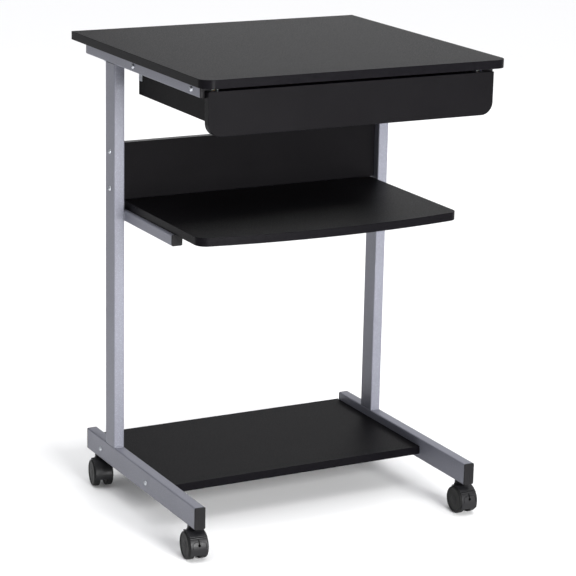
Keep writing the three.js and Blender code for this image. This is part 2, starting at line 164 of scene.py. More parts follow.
# PVC edge band: extruded strip, glued on and trimmed. Smoother and a shade lighter than the faces,
# with faint scraper marks across its run.
band = {"colour": "#09080b", "light": "#0e0d10", "scraperMm": 8, "rough": (0.27, 0.33), "shine": 0.035,
        "markStrength": 0.03, "markDepthMm": 0.05}


def edgeBand(tree, where):
    marks = noise(tree, where, band["scraperMm"])
    return principled(tree, {"IOR": 1.53, "Specular IOR Level": band["shine"]},
                      between(tree, marks, band["colour"], band["light"]),
                      spread(tree, marks, *band["rough"]),
                      bump(tree, marks, band["markStrength"], band["markDepthMm"]))


# Powder coat: polyester baked on steel with aluminium flake. A satin silver with slight orange peel
# and a grain of flakes that catch the light.
powder = {
    "ground": "#757680", "flake": "#9fa1ab", "shade": "#6a6b75",
    "flakeMm": 1.6,      # flakes are a tenth of this, too fine to show
    "glintMost": 0.5, "glintBand": (0.5, 0.8), "driftMm": 90,
    "peelMm": 2.5, "peelStrength": 0.25, "peelDepthMm": 0.03, "metal": 0.16, "rough": (0.38, 0.52),
}


def powderCoat(tree, where):
    flake = noise(tree, where, powder["flakeMm"], roughness=0.7)
    drift = noise(tree, where, powder["driftMm"])
    peel = noise(tree, where, powder["peelMm"], 1.0)
    ground = between(tree, drift, powder["shade"], powder["ground"])
    glint = spread(tree, flake, 0.0, powder["glintMost"], *powder["glintBand"])
    return principled(tree, {"Metallic": powder["metal"]}, over(tree, glint, ground, powder["flake"]),
                      spread(tree, flake, *powder["rough"]),
                      bump(tree, peel, powder["peelStrength"], powder["peelDepthMm"]))


# Zinc plate: bright electroplate on rolled sheet. Pale blue-white metal, with long faint rolling
# lines that stretch its highlights.
zinc = {"colour": "#d6d9dd", "dull": "#b4b8be", "lineMm": 0.9, "runMm": 60, "rough": (0.24, 0.42),
        "lineStrength": 0.15, "lineDepthMm": 0.02}


def zincPlate(tree, where):
    across, along = 1 / (zinc["lineMm"] * mm), 1 / (zinc["runMm"] * mm)
    stretched = addNode(tree, "Mapping", {"Scale": (across, along, across)}, {"Vector": where})
    lines = addNode(tree, "TexNoise", {"Scale": 1.0, "Detail": 3.0},
                    {"Vector": stretched.outputs["Vector"]}).outputs["Fac"]
    return principled(tree, {"Metallic": 1.0}, between(tree, lines, zinc["dull"], zinc["colour"]),
                      spread(tree, lines, *zinc["rough"]),
                      bump(tree, lines, zinc["lineStrength"], zinc["lineDepthMm"]))


# Turned steel: bare bar from the lathe, lightly oiled. Darker than zinc, with fine rings round it.
turned = {"colour": "#8b8d90", "oil": "#6b6a66", "ringMm": 0.5, "oilMm": 8, "rough": (0.22, 0.40),
          "ringStrength": 0.3, "ringDepthMm": 0.02,
          "waveRate": 20}      # how much faster the wave runs than the node's scale


def turnedSteel(tree, where):
    rings = addNode(tree, "TexWave", {"bands_direction": "Z", "Distortion": 1.5,
                                      "Scale": 1 / (turned["waveRate"] * turned["ringMm"] * mm)},
                    {"Vector": where}).outputs["Fac"]
    oil = noise(tree, where, turned["oilMm"], 3.0)
    return principled(tree, {"Metallic": 1.0}, between(tree, oil, turned["colour"], turned["oil"]),
                      spread(tree, oil, *turned["rough"], 0.0, 1.0),
                      bump(tree, rings, turned["ringStrength"], turned["ringDepthMm"]))


# Moulded plastics: the same recipe with each one's own colour, spark texture and gloss.
def mouldedPlastic(look):
    def recipe(tree, where):
        spark = addNode(tree, "TexVoronoi", {"Scale": 1 / (look["sparkMm"] * mm)}, {"Vector": where})
        flow = noise(tree, where, look["flowMm"], 3.0)
        surface = {"IOR": look["ior"], "Specular IOR Level": look["shine"],
                   "Subsurface Weight": look["depth"], "Subsurface Scale": 2 * mm}
        return principled(tree, surface, between(tree, flow, look["colour"], look["scuff"]),
                          spread(tree, flow, *look["rough"]),
                          bump(tree, spark.outputs["Distance"], look["sparkStrength"], 0.04))
    return recipe


# Polyethylene: soft waxy black with a wide dull highlight.
capPlastic = {"colour": "#141415", "scuff": "#1b1a1c", "sparkMm": 1.2, "flowMm": 9,
              "sparkStrength": 0.15, "rough": (0.41, 0.55), "ior": 1.51, "shine": 0.12, "depth": 0.0}
# Glass-filled nylon: hard black with a closer, brighter sheen along its rounded edges.
casterPlastic = {"colour": "#0e0e10", "scuff": "#161618", "sparkMm": 1.0, "flowMm": 7,
                 "sparkStrength": 0.1, "rough": (0.37, 0.51), "ior": 1.53, "shine": 0.25, "depth": 0.0}
# Wheel nylon: rolled on, so duller, with a dusty grey cast in patches.
wheelPlastic = {"colour": "#111212", "scuff": "#1b1b1b", "sparkMm": 0.9, "flowMm": 5,
                "sparkStrength": 0.15, "rough": (0.41, 0.55), "ior": 1.53, "shine": 0.14, "depth": 0.0}
# Acetal rollers: milky white that lets a little light in.
rollerPlastic = {"colour": "#dcdad2", "scuff": "#c9c6bb", "sparkMm": 0.8, "flowMm": 4,
                 "sparkStrength": 0.08, "rough": (0.29, 0.43), "ior": 1.48, "shine": 0.5, "depth": 0.25}


# Hardboard: pressed wood fibre, sealed black on its face. Matt, with short tangled fibres showing.
fibre = {"ground": "#161412", "strand": "#26221e", "strandMm": 1.4, "roughness": 0.62,
         "strandStrength": 0.4, "strandDepthMm": 0.06}


def hardboard(tree, where):
    strand = noise(tree, where, fibre["strandMm"], 5.0, distortion=1.8)
    return addNode(tree, "BsdfPrincipled", {"Roughness": fibre["roughness"], "IOR": 1.45},
                   {"Base Color": between(tree, strand, fibre["ground"], fibre["strand"]),
                    "Normal": bump(tree, strand, fibre["strandStrength"], fibre["strandDepthMm"])})


finish = {
    "melamine": makeMaterial("black_melamine_foil", melamineFoil),
    "edge": makeMaterial("black_pvc_edge_band", edgeBand),
    "powder": makeMaterial("silver_powder_coat", powderCoat),
    "zinc": makeMaterial("bright_zinc_plate", zincPlate),
    "steel": makeMaterial("turned_steel", turnedSteel),
    "cap": makeMaterial("black_polyethylene", mouldedPlastic(capPlastic)),
    "caster": makeMaterial("black_glass_filled_nylon", mouldedPlastic(casterPlastic)),
    "wheel": makeMaterial("black_wheel_nylon", mouldedPlastic(wheelPlastic)),
    "roller": makeMaterial("white_acetal", mouldedPlastic(rollerPlastic)),
    "hardboard": makeMaterial("black_sealed_hardboard", hardboard),
}
print("materials made:", len(finish))


# outlines are lists of (u, v), anticlockwise, in millimetres
def arcPoints(u, v, radius, startDegrees, endDegrees, steps):
    sweep = endDegrees - startDegrees
    angles = [math.radians(startDegrees + sweep * k / steps) for k in range(steps + 1)]
    return [(u + radius * math.cos(a), v + radius * math.sin(a)) for a in angles]


def roundedOutline(width, height, radius, steps=4):
    u, v = width / 2 - radius, height / 2 - radius
    corners = ((u, v, 0), (-u, v, 90), (-u, -v, 180), (u, -v, 270))
    return [point for cu, cv, start in corners
            for point in arcPoints(cu, cv, radius, start, start + 90, steps)]


def insetOutline(points, inset):
    shrunk = []
    for before, here, after in zip(points[-1:] + points[:-1], points, points[1:] + points[:1]):
        came = (Vector(here) - Vector(before)).normalized()
        goes = (Vector(after) - Vector(here)).normalized()
        inward = Vector((-came.y - goes.y, came.x + goes.x)) / (1 + came.dot(goes))
        shrunk.append(tuple(Vector(here) + inward * inset))
    return shrunk


# skins a row of rings of equal length; loop joins the last to the first, otherwise both ends close
def loft(bm, rings, side=0, loop=False):
    rows = [[bm.verts.new(Vector(point) * mm) for point in ring] for ring in rings]
    pairs = list(zip(rows, rows[1:])) + ([(rows[-1], rows[0])] if loop else [])
    for a, b in pairs:
        for i in range(len(a)):
            j = (i + 1) % len(a)
            bm.faces.new((a[i], a[j], b[j], b[i])).material_index = side
    if not loop:
        bm.faces.new(rows[0][::-1])
        bm.faces.new(rows[-1])


flat = lambda u, v, w: (u, v, w)              # an outline seen from above, thickness up
facing = lambda u, v, w: (u, w, v)            # an outline seen from the front, thickness back
sideways = lambda u, v, w: (w, u, v)          # an outline seen from the side, thickness across


# a slab with rounded edges; the outer material wraps the edge and a narrow lip of each face
def softSlab(bm, outline, low, high, radius, place, steps=3, lip=0.0, wrap=0):
    levels = []
    if lip:
        levels.append((radius + lip, low))
    for k in range(steps + 1):
        a = math.pi / 2 * k / steps
        levels.append((radius * (1 - math.sin(a)), low + radius * (1 - math.cos(a))))
    levels += [(inset, high + low - level) for inset, level in reversed(levels)]
    rings = [[place(u, v, level) for u, v in insetOutline(outline, inset)] for inset, level in levels]
    loft(bm, rings, wrap)


# a solid turned about a line: profile is (distance along, radius), place turns (along, u, v) to x, y, z
def turnedSolid(bm, profile, place, segments=32, loop=False):
    around = [2 * math.pi * k / segments for k in range(segments)]
    rings = [[place(along, radius * math.cos(a), radius * math.sin(a)) for a in around]
             for along, radius in profile]
    loft(bm, rings, loop=loop)


def addPiece(name, bm, finishes, body, stands=(), sharpDegrees=38):
    bmesh.ops.remove_doubles(bm, verts=bm.verts, dist=0.002 * mm)
    bmesh.ops.recalc_face_normals(bm, faces=bm.faces)
    label = f"{name}_finished" if stands else name      # apart from the CAD node that it stands for
    mesh = bpy.data.meshes.new(label)
    bm.to_mesh(mesh)
    bm.free()
    for key in finishes:
        mesh.materials.append(finish[key])
    mesh.polygons.foreach_set("use_smooth", [True] * len(mesh.polygons))
    mesh.set_sharp_from_angle(angle=math.radians(sharpDegrees))
    piece = bpy.data.objects.new(label, mesh)
    bpy.context.scene.collection.objects.link(piece)
    weighted = piece.modifiers.new("flat faces stay flat", "WEIGHTED_NORMAL")
    weighted.keep_sharp = True
    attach(piece, body)
    if stands:
        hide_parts(*stands)


# a CAD node's box in millimetres
def boxMm(node):
    low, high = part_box(node)
    return low / mm, high / mm


board = {
    "edgeRadius": 0.6, "bandLip": 0.3, "topCorner": 22, "shelfCorner": 20, "shelfBow": 1420,
    "drawerCorner": 22, "squareCorner": 1.2, "squareSteps": 3, "cornerSteps": 16, "bowSteps": 28,
}


def boardPiece(name, outline, low, high, place, body="frame"):
    bm = bmesh.new()
    softSlab(bm, outline, low, high, board["edgeRadius"], place, lip=board["bandLip"], wrap=1)
    addPiece(name, bm, ["melamine", "edge"], body, [name])


# the two nearly square corners at a board's back or upper edge
def squareEnd(x, v):
    tiny, steps = board["squareCorner"], board["squareSteps"]
    return (arcPoints(x - tiny, v - tiny, tiny, 0, 90, steps)
            + arcPoints(-x + tiny, v - tiny, tiny, 90, 180, steps))


def roundFrontOutline(x, vLow, vHigh, radius):
    return (squareEnd(x, vHigh)
            + arcPoints(-x + radius, vLow + radius, radius, 180, 270, board["cornerSteps"])
            + arcPoints(x - radius, vLow + radius, radius, 270, 360, board["cornerSteps"]))


def bowedOutline(x, front, back):
    r, bow = board["shelfCorner"], board["shelfBow"]
    centre = front + bow
    corner = centre - math.sqrt((bow - r) ** 2 - (x - r) ** 2)
    lean = math.degrees(math.asin((x - r) / (bow - r)))
    return (squareEnd(x, back)
            + arcPoints(-x + r, corner, r, 180, 270 - lean, board["cornerSteps"])
            + arcPoints(0, centre, bow, 270 - lean, 270 + lean, board["bowSteps"])[1:-1]
            + arcPoints(x - r, corner, r, 270 + lean, 360, board["cornerSteps"]))


def addBoards():
    low, high = boxMm("top_panel")
    boardPiece("top_panel", roundFrontOutline(high.x, low.y, high.y, board["topCorner"]), low.z, high.z,
               flat)
    low, high = boxMm("fixed_shelf")
    boardPiece("fixed_shelf", bowedOutline(high.x, low.y, high.y), low.z, high.z, flat)
    low, high = boxMm("drawer_front")
    boardPiece("drawer_front", roundFrontOutline(high.x, low.z, high.z, board["drawerCorner"]), low.y,
               high.y, facing, body="drawer")
    for name, place, rise, thick in (("modesty_panel", facing, 2, 1), ("bottom_shelf", flat, 1, 2)):
        low, high = boxMm(name)
        middle, size = (low + high) / 2, high - low
        outline = [(u + middle.x, v + middle[rise]) for u, v in
                   roundedOutline(size.x, size[rise], board["squareCorner"], board["squareSteps"])]
        boardPiece(name, outline, low[thick], high[thick], place)


addBoards()
print("boards made")


tube = {"cornerRadius": 2.5, "wall": 1.5, "cornerSteps": 5}


# a hollow tube filling its CAD node's box, along axis 1 (Y) or 2 (Z)
def tubePiece(node, axis):
    low, high = boxMm(node)
    middle, size = (low + high) / 2, high - low
    across = 2 if axis == 1 else 1
    place = (lambda u, v, w: (middle.x + u, w, middle.z + v)) if axis == 1 else (
        lambda u, v, w: (middle.x + u, middle.y + v, w))
    outer = roundedOutline(size.x, size[across], tube["cornerRadius"], tube["cornerSteps"])
    inner = roundedOutline(size.x - 2 * tube["wall"], size[across] - 2 * tube["wall"],
                           tube["cornerRadius"] - tube["wall"], tube["cornerSteps"])
    bm = bmesh.new()
    ends = ((outer, low[axis]), (outer, high[axis]), (inner, high[axis]), (inner, low[axis]))
    loft(bm, [[place(u, v, w) for u, v in outline] for outline, w in ends], loop=True)
    addPiece(node, bm, ["powder"], "frame", [node])


cap = {"flange": 3.0, "edgeRadius": 0.9, "cornerRadius": 2.5,
       "ribs": 4, "ribPitch": 3.6, "ribWidth": 1.3, "ribHeight": 0.35, "ribShorter": 4.5,
       "ribCorner": 0.6, "ribSunk": 0.3, "ribEdge": 0.3,
       "plugGap": 1.8, "plugCorner": 1.0, "plugWall": 0.96}


# a ribbed flange over the tube's end with a hollow plug behind it; outward is -1 in front, 1 behind
def capPiece(node, outward):
    low, high = boxMm(node)
    middle, size = (low + high) / 2, high - low
    face = low.y if outward < 0 else high.y
    seat = face - outward * cap["flange"]
    place = lambda u, v, w: (middle.x + u, w, middle.z + v)
    bm = bmesh.new()
    softSlab(bm, roundedOutline(size.x, size.z, cap["cornerRadius"]), min(face, seat), max(face, seat),
             cap["edgeRadius"], place)
    rib = roundedOutline(cap["ribWidth"], size.z - cap["ribShorter"], cap["ribCorner"], 3)
    for k in range(cap["ribs"]):
        x = (k - (cap["ribs"] - 1) / 2) * cap["ribPitch"]
        ends = sorted((face - outward * cap["ribSunk"], face + outward * cap["ribHeight"]))
        softSlab(bm, [(u + x, v) for u, v in rib], *ends, cap["ribEdge"], place, steps=2)
    outer = roundedOutline(size.x - 2 * cap["plugGap"], size.z - 2 * cap["plugGap"], cap["plugCorner"])
    inner = insetOutline(outer, cap["plugWall"])
    tip = high.y if outward < 0 else low.y
    ends = ((outer, seat), (outer, tip), (inner, tip), (inner, seat))
    loft(bm, [[place(u, v, w) for u, v in outline] for outline, w in ends], loop=True)
    addPiece(node, bm, ["cap"], "frame", [node])


for label in ("left", "right"):
    for member, axis in (("top_rail", 1), ("base_rail", 1), ("shelf_arm", 1), ("upright", 2)):
        tubePiece(f"{label}_{member}", axis)
    for member, outward in (("top_rail_front_cap", -1), ("top_rail_back_cap", 1),
                            ("base_rail_front_cap", -1), ("base_rail_back_cap", 1),
                            ("shelf_arm_cap", -1)):
        capPiece(f"{label}_{member}", outward)
print("side frames made")


weld = {"radius": 1.7, "pitch": 2.2, "ripple": 0.22, "fullest": 0.35, "sides": 10, "ringsPerScale": 4,
        "endSize": 0.25, "endRise": 6, "startGap": 3, "endGap": 2}


# a weld bead along a straight seam: overlapping scales, each fuller at its middle
def weldBead(bm, start, end):
    start, end = Vector(start), Vector(end)
    along = (end - start).normalized()
    across = along.orthogonal().normalized()
    upward = along.cross(across)
    scales = max(3, round((end - start).length / weld["pitch"]))
    rings = []
    count = scales * weld["ringsPerScale"]
    for k in range(count + 1):
        part = k / count
        phase = part * scales % 1
        taper = min(1, weld["endRise"] * min(part, 1 - part) + weld["endSize"])
        radius = weld["radius"] * taper * (1 - weld["ripple"] * abs(phase - weld["fullest"]))
        middle = start.lerp(end, part)
        rings.append([middle + (across * math.cos(a) + upward * math.sin(a)) * radius for a in
                      (2 * math.pi * n / weld["sides"] for n in range(weld["sides"]))])
    loft(bm, rings)


def addWelds(label, side):
    upLow, upHigh = boxMm(f"{label}_upright")
    armLow, armHigh = boxMm(f"{label}_shelf_arm")
    start, end = weld["startGap"], weld["endGap"]
    bm = bmesh.new()
    for y in (upLow.y, upHigh.y):
        for z in (upLow.z, upHigh.z):
            weldBead(bm, (upLow.x + start, y, z), (upHigh.x - start, y, z))
    seam = upHigh.x if side < 0 else upLow.x
    weldBead(bm, (seam, upLow.y, armLow.z + start), (seam, upLow.y, armHigh.z - end))
    weldBead(bm, (seam, upLow.y + start, armLow.z), (seam, armHigh.y - end, armLow.z))
    addPiece(f"{label}_weld_beads", bm, ["powder"], "frame", sharpDegrees=60)


# button-head screws: a low dome with a hexagon socket
bolt = {"headRadius": 4.6, "headHeight": 2.6, "socketRadius": 1.5, "socketDepth": 1.3, "lobes": 6}
boltPlaces = {      # y and z on each side frame's outer face, in the desk's millimetres
    "top_rail": ((25, 815), (-207, 815)), "upright": ((124.5, 647), (124.5, 580)),
    "base_rail": ((168, 77), (-34, 77)),
}
head = {"sunk": 0.6, "lip": 1.25, "taper": 0.96, "domeTurns": (0, 0.25, 0.5, 0.75, 1.0, 1.2),
        "domePower": 0.8, "crossWaist": 0.38, "crossPower": 3, "segments": 36}


# a dome of a radius and height over a socket of six flats or, with four lobes, a cross
def screwHead(bm, centre, outward, radius, height, socket, depth, lobes):
    outward = Vector(outward)
    across = outward.orthogonal().normalized()
    upward = outward.cross(across)
    step = 2 * math.pi / lobes
    waist = head["crossWaist"]

    def ring(size, lift, shaped=False):
        points = []
        for n in range(head["segments"]):
            a = 2 * math.pi * n / head["segments"]
            reach = size
            if shaped and lobes == 6:
                reach = size / math.cos((a % step) - step / 2)
            elif shaped:
                reach = size * (waist + (1 - waist) * abs(math.cos(2 * a)) ** head["crossPower"])
            spoke = across * math.cos(a) + upward * math.sin(a)
            points.append(Vector(centre) + spoke * reach + outward * lift)
        return points

    mouth = socket * head["lip"]
    dome = [ring(radius * math.cos(t), height * math.sin(t) ** head["domePower"])
            for t in head["domeTurns"] if radius * math.cos(t) > mouth]
    loft(bm, [ring(radius, -head["sunk"])] + dome + [ring(mouth, height), ring(socket, height, True),
                                                     ring(socket * head["taper"], height - depth, True)])


def addBolts(label, side):
    bm = bmesh.new()
    for member, places in boltPlaces.items():
        low, high = boxMm(f"{label}_{member}")
        face = low.x if side < 0 else high.x
        for y, z in places:
            screwHead(bm, (face, y, z), (side, 0, 0), bolt["headRadius"], bolt["headHeight"],
                      bolt["socketRadius"], bolt["socketDepth"], bolt["lobes"])
    addPiece(f"{label}_frame_bolts", bm, ["zinc"], "frame")


# pan-head screws with a cross recess: up through the rails into the boards, and through the slides
pan = {
    "headRadius": 3.6, "recess": 2.1, "recessDepth": 1.2, "lobes": 4,
    "up": {"top_rail": ((166, 4.4), (-120, 1.9)), "shelf_arm": ((99.5, 1.9), (-60, 1.9))},  # y, height
    "slideY": (-215, -90, 20), "channelShift": 14, "belowRunnerTop": 11, "slideSheet": 1.2,
    "slideHeight": 0.9, "slideRecess": 1.26, "slideRecessDepth": 0.4,
}


def addSlideScrews(bm, x, z, shift, outward):
    for y in pan["slideY"]:
        screwHead(bm, (x, y + shift, z), (outward, 0, 0), pan["headRadius"], pan["slideHeight"],
                  pan["slideRecess"], pan["slideRecessDepth"], pan["lobes"])


def addScrews(label, side):
    bm = bmesh.new()
    for member, screws in pan["up"].items():
        low, high = boxMm(f"{label}_{member}")
        for y, height in screws:
            screwHead(bm, ((low.x + high.x) / 2, y, low.z), (0, 0, -1), pan["headRadius"], height,
                      pan["recess"], pan["recessDepth"], pan["lobes"])
    low, high = boxMm(f"{label}_slide_channel")
    web = (low.x if side < 0 else high.x) - side * pan["slideSheet"]
    addSlideScrews(bm, web, (low.z + high.z) / 2, pan["channelShift"], -side)
    addPiece(f"{label}_frame_screws", bm, ["zinc"], "frame")
    bm = bmesh.new()
    low, high = boxMm(f"{label}_slide_runner")
    web = (high.x if side < 0 else low.x) + side * pan["slideSheet"]
    addSlideScrews(bm, web, high.z - pan["belowRunnerTop"], 0, side)
    addPiece(f"{label}_runner_screws", bm, ["zinc"], "drawer")


for label, side in (("left", -1), ("right", 1)):
    addWelds(label, side)
    addBolts(label, side)
    addScrews(label, side)
print("welds, bolts and screws made")


# the folded slides and the drawer box keep their CAD shape and take their finish
def finishNode(node, key, bevelMm):
    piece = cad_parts[node]
    if not piece.material_slots:
        piece.data.materials.append(finish[key])
    for slot in piece.material_slots:
        slot.material = finish[key]
    bevel = piece.modifiers.new("eased edges", "BEVEL")
    bevel.width = bevelMm * mm
    bevel.segments = 2
    bevel.limit_method = "ANGLE"
    bevel.angle_limit = math.radians(50)


for label in ("left", "right"):
    finishNode(f"{label}_slide_channel", "zinc", 0.2)
    finishNode(f"{label}_slide_runner", "zinc", 0.2)
    finishNode(f"drawer_{label}_side", "melamine", 0.5)
finishNode("drawer_back", "melamine", 0.5)
finishNode("drawer_bottom", "hardboard", 0.3)

roller = {"rim": 0.7, "rimEase": 0.3, "treadWall": 1.2, "hubRadius": 3.4, "hubEase": 0.4, "hubStep": 0.5,
          "bore": 2.1, "segments": 40}


def rollerPiece(node, body):
    low, high = boxMm(node)
    middle = (low + high) / 2
    radius = (high.z - low.z) / 2
    rim, step, hub, bore = (roller[k] for k in ("rim", "hubStep", "hubRadius", "bore"))
    ease, wall, foot = rim * roller["rimEase"], radius - roller["treadWall"], hub + roller["hubEase"]
    half = (high.x - low.x) / 2
    profile = [(-half, bore), (-half, hub), (-half + step, foot), (-half + step, wall),
               (-half, radius - rim), (-half + ease, radius - ease), (-half + rim, radius),
               (half - rim, radius), (half - ease, radius - ease), (half, radius - rim),
               (half - step, wall), (half - step, foot), (half, hub), (half, bore)]
    bm = bmesh.new()
    turnedSolid(bm, profile, lambda x, u, v: (middle.x + x, middle.y + u, middle.z + v),
                roller["segments"], loop=True)
    addPiece(node, bm, ["roller"], body, [node])


for label in ("left", "right"):
    for end in ("front", "back"):
        rollerPiece(f"{label}_slide_{end}_roller", f"{label}_{end}_roller")
print("slides made")


caster = {
    "hoodWidth": 32, "hoodRadius": 27, "hoodThickness": 2.2, "hoodBack": 118, "brakedEdge": 46,
    "plainEdge": -15, "shellSteps": 26, "sideRound": 0.45, "crown": 0.9, "flareDegrees": 16,
    "lipDegrees": 1.6, "lipInsets": ((0, 0.55), (0.4, 0.2), (1, 0.0)),      # share of the lip, mm
    "webHalf": 5.3, "webRadius": 26.4, "webBack": 130, "webEdge": 0.6, "webSteps": 24,
    "hubRadius": 8, "hubFrom": 200, "hubTo": 300, "collarRadius": 8, "collarHeight": 9, "collarTop": 57.5,
}


def centreMm(node):
    low, high = boxMm(node)
    return (low + high) / 2


def casterPlaces(place):
    return centreMm(f"{place}_caster_stem"), centreMm(f"{place}_caster_axle")


# turns caster-local places to the desk's: there the axle lies along X at the origin, trailing to -Y
def casterFrame(place):
    stem, axle = casterPlaces(place)
    heading = math.atan2(axle.x - stem.x, stem.y - axle.y)
    return Matrix.Translation(axle) @ Matrix.Rotation(heading, 4, "Z")


def aboutAxle(x, radius, degrees):
    a = math.radians(degrees)
    return (x, -radius * math.cos(a), radius * math.sin(a))


# an arc about the axle seen from the side, as (y, z)
def sideArc(radius, fromDegrees, toDegrees, steps=8):
    return [aboutAxle(0, radius, fromDegrees + (toDegrees - fromDegrees) * k / steps)[1:]
            for k in range(steps + 1)]


# a curved plate about the axle between two angles, with rounded sides and lips
def curvedPlate(bm, fromDegrees, toDegrees, flare=0.0):
    width, radius, thick = caster["hoodWidth"], caster["hoodRadius"], caster["hoodThickness"]
    outline = roundedOutline(width, thick, thick * caster["sideRound"], 4)
    lip, steps = caster["lipDegrees"], caster["shellSteps"]
    lips = [(lip * share, inset) for share, inset in caster["lipInsets"]]
    reach = toDegrees - fromDegrees - 2 * lip
    stations = [(fromDegrees + past, inset) for past, inset in lips]
    stations += [(fromDegrees + lip + reach * k / steps, 0.0) for k in range(1, steps)]
    stations += [(toDegrees - past, inset) for past, inset in reversed(lips)]

    def drop(u):      # the outer face falls a little to its sides
        return caster["crown"] * (abs(u) / (width / 2)) ** 4

    rings = []
    for degrees, inset in stations:
        low = max(0, 1 - (degrees - fromDegrees) / caster["flareDegrees"])
        points = insetOutline(outline, inset) if inset else outline
        rings.append([aboutAxle(u, radius + v - drop(u) + flare * low ** 2, degrees) for u, v in points])
    loft(bm, rings)


def moved(bm, matrix):
    scaled = Matrix.Scale(mm, 4) @ matrix @ Matrix.Scale(1 / mm, 4)
    bmesh.ops.transform(bm, matrix=scaled, verts=bm.verts)


def addHood(place, braked):
    edge = caster["brakedEdge"] if braked else caster["plainEdge"]
    bm = bmesh.new()
    curvedPlate(bm, edge, caster["hoodBack"])
    fan = sideArc(caster["webRadius"], max(edge, 0), caster["webBack"], caster["webSteps"])
    hubBelow = sideArc(caster["hubRadius"], caster["hubFrom"], caster["hubTo"])
    softSlab(bm, (fan + hubBelow)[::-1], -caster["webHalf"], caster["webHalf"], caster["webEdge"],
             sideways, steps=2)
    stem, axle = casterPlaces(place)
    trail = math.hypot(axle.x - stem.x, axle.y - stem.y)
    top, r = caster["collarTop"] - axle.z, caster["collarRadius"]
    foot = top - caster["collarHeight"]
    collar = [      # height, radius
        (foot - 2, r + 1.6), (foot + 0.6, r + 1.2), (foot + 2.2, r + 0.2), (foot + 3, r),
        (top - 1, r), (top - 0.3, r - 0.3), (top, r - 1),
    ]
    turnedSolid(bm, collar, lambda w, u, v: (u, trail + v, w), 40)
    moved(bm, casterFrame(place))
    addPiece(f"{place}_caster_hood", bm, ["caster"], f"{place}_caster", [f"{place}_caster_hood"])


# keeps a piece's mesh with the tools' shapes cut out of it
def carve(bm, tools):
    scrap = []
    for index, part in enumerate([bm] + tools):
        bmesh.ops.recalc_face_normals(part, faces=part.faces)
        mesh = bpy.data.meshes.new("carving")
        part.to_mesh(mesh)
        part.free()
        scrap.append(bpy.data.objects.new("carving", mesh))
        bpy.context.scene.collection.objects.link(scrap[-1])
        if index:
            cut = scrap[0].modifiers.new("cut", "BOOLEAN")
            cut.object, cut.solver, cut.operation = scrap[-1], "EXACT", "DIFFERENCE"
    shaped = scrap[0].evaluated_get(bpy.context.evaluated_depsgraph_get())
    result = bmesh.new()
    result.from_mesh(shaped.to_mesh())
    shaped.to_mesh_clear()
    for item in scrap:
        mesh = item.data
        bpy.data.objects.remove(item)
        bpy.data.meshes.remove(mesh)
    return result


lever = {
    "top": 41, "low": -25, "flare": 1.2, "pinRadius": 1.6, "pinShorter": 0.5, "pinChamfer": 0.4,
    "holeAt": 14, "holeRadius": 2.6, "holeInward": 6, "holeOutward": 4,
    "slotWidth": 1.8, "slotDepth": 4, "slotTop": 37,
    "seamX": 12, "seamLow": 2, "seamTop": 18, "seamRise": 10, "seamWidth": 1.5, "seamDepth": 1.8,
    "ribHalf": 4, "ribThickness": 1.2, "ribEdge": 0.3, "ribRadius": (14, 26.5), "ribAngles": (2, 33),
    "grooveSteps": 8,
}


# a thin tube along points, used to press a groove into a face
def grooveTool(points, halfWidth, depth, sides=10):
    bm = bmesh.new()
    rings = []
    for k, point in enumerate(points):
        point = Vector(point)
        along = (Vector(points[min(k + 1, len(points) - 1)]) - Vector(points[max(k - 1, 0)])).normalized()
        outward = Vector((0, point.y, point.z)).normalized()
        across = along.cross(outward).normalized()
        rings.append([point + across * halfWidth * math.cos(a) + outward * depth * math.sin(a) for a in
                      (2 * math.pi * n / sides for n in range(sides))])
    loft(bm, rings)
    return bm


def addLever(place):
    bm = bmesh.new()
    curvedPlate(bm, lever["low"], lever["top"], lever["flare"])
    surface = caster["hoodRadius"] + caster["hoodThickness"] / 2
    x, low, top, steps = lever["seamX"], lever["seamLow"], lever["seamTop"], lever["grooveSteps"]
    arch = [(-x, low + (top - low) * k / steps) for k in range(steps + 1)]
    for k in range(1, 12):
        a = math.radians(k * 15)
        arch.append((-x * math.cos(a), top + lever["seamRise"] * math.sin(a)))
    arch += [(x, top - (top - low) * k / steps) for k in range(steps + 1)]
    seam = grooveTool([aboutAxle(u, surface, a) for u, a in arch], lever["seamWidth"] / 2,
                      lever["seamDepth"])
    climb = lever["slotTop"] - lever["holeAt"]
    slot = grooveTool([aboutAxle(0, surface, lever["holeAt"] + climb * k / steps)
                       for k in range(steps + 1)], lever["slotWidth"] / 2, lever["slotDepth"])
    hole = bmesh.new()
    outward = Vector(aboutAxle(0, 1, lever["holeAt"]))
    across, upward = Vector((1, 0, 0)), outward.cross(Vector((1, 0, 0)))
    turnedSolid(hole, [(surface - lever["holeInward"], lever["holeRadius"]),
                       (surface + lever["holeOutward"], lever["holeRadius"])],
                lambda w, u, v: outward * w + across * u + upward * v, 24)
    bm = carve(bm, [seam, slot, hole])
    inner, outer = lever["ribRadius"]
    ribLow, ribHigh = lever["ribAngles"]
    rib = (sideArc(outer, ribLow, ribHigh) + sideArc(inner, ribHigh, ribLow))[::-1]
    for half in (-1, 1):      # two cheeks, one each side of the hole
        ends = sorted((half * lever["ribHalf"], half * (lever["ribHalf"] - lever["ribThickness"])))
        softSlab(bm, rib, *ends, lever["ribEdge"], sideways, steps=2)
    pin = aboutAxle(0, caster["hoodRadius"], lever["top"])
    half, r, ease = caster["hoodWidth"] / 2 - lever["pinShorter"], lever["pinRadius"], lever["pinChamfer"]
    turnedSolid(bm, [(-half, r - ease), (-half + ease, r), (half - ease, r), (half, r - ease)],
                lambda w, u, v: (w, pin[1] + u, pin[2] + v), 20)
    moved(bm, casterFrame(place))
    node = f"{place}_caster_brake_lever"
    addPiece(node, bm, ["caster"], f"{place}_brake", [node])


wheel = {"inner": 6.0, "outer": 18.5, "radius": 25.0, "bore": 3.1, "axleHole": 1.2, "segments": 72}


